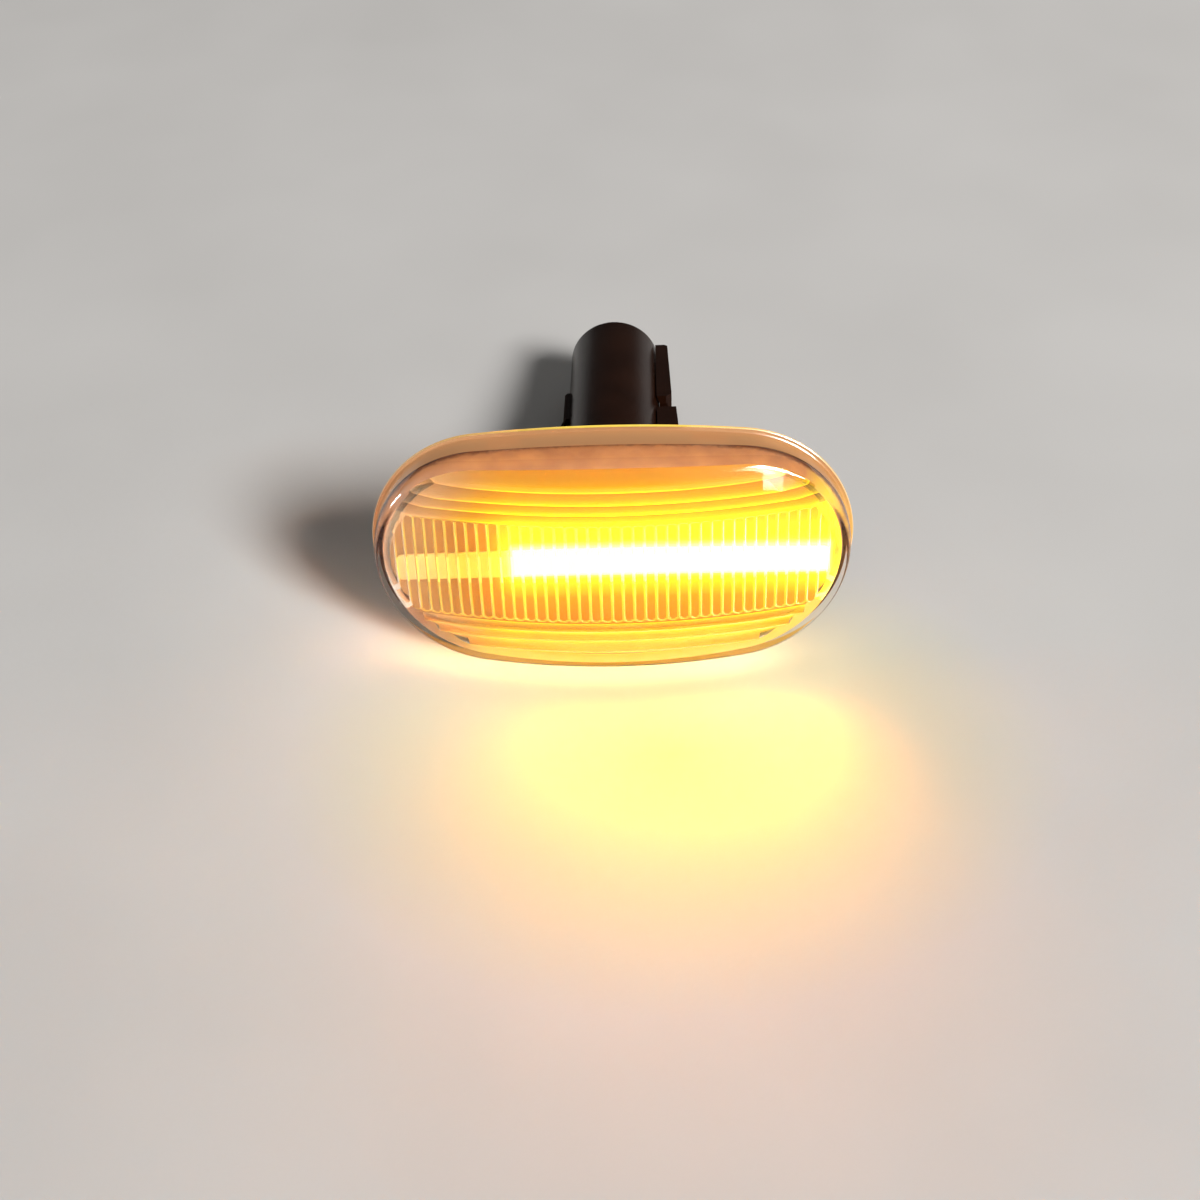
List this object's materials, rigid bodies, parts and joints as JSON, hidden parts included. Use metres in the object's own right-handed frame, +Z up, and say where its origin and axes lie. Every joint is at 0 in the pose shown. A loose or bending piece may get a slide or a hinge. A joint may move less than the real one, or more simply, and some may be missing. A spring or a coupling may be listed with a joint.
{
  "type": "side repeater lamp",
  "caption": "Oval side repeater lamp: a clear fluted and stepped lens over a straight light bar, on a black housing with a long round connector tail, a snap latch and a hook.",
  "frame": {"origin": "middle of the flange's rear face, where it seats on the wing panel", "axes": "+Y out of the rear face along the connector tail, so the lens faces -Y; +X along the flange's long axis, towards the snap latch; +Z up"},
  "size_m": [0.076, 0.076, 0.0396],
  "materials": {
    "clear_lens": "gloss",
    "black_housing": "satin",
    "glue": "satin",
    "grey_trim": "satin",
    "diffuser_white": "satin",
    "board": "satin",
    "emitter": "gloss",
    "emitter_off": "gloss",
    "chip_black": "satin",
    "ceramic": "satin",
    "terminal_metal": "satin",
    "lead_red": "satin",
    "lead_black": "satin"
  },
  "bodies": {
    "root": {"lens": "clear_lens", "housing": "black_housing", "glue_bead": "glue", "reflector": "grey_trim", "diffuser": "diffuser_white", "circuit_board": "board", "led_1": "emitter_off", "led_2": "emitter_off", "led_3": "emitter_off", "led_4": "emitter", "led_5": "emitter", "led_6": "emitter", "led_7": "emitter", "led_8": "emitter", "led_9": "emitter", "led_10": "emitter", "led_11": "emitter", "led_12": "emitter", "controller_chip": "chip_black", "regulator": "chip_black", "rectifier": "chip_black", "capacitor": "ceramic", "resistor_1": "chip_black", "resistor_2": "chip_black", "resistor_3": "chip_black", "resistor_4": "chip_black", "terminal_left": "terminal_metal", "terminal_right": "terminal_metal", "lead_left": "lead_red", "lead_right": "lead_black"}
  },
  "joints": []
}
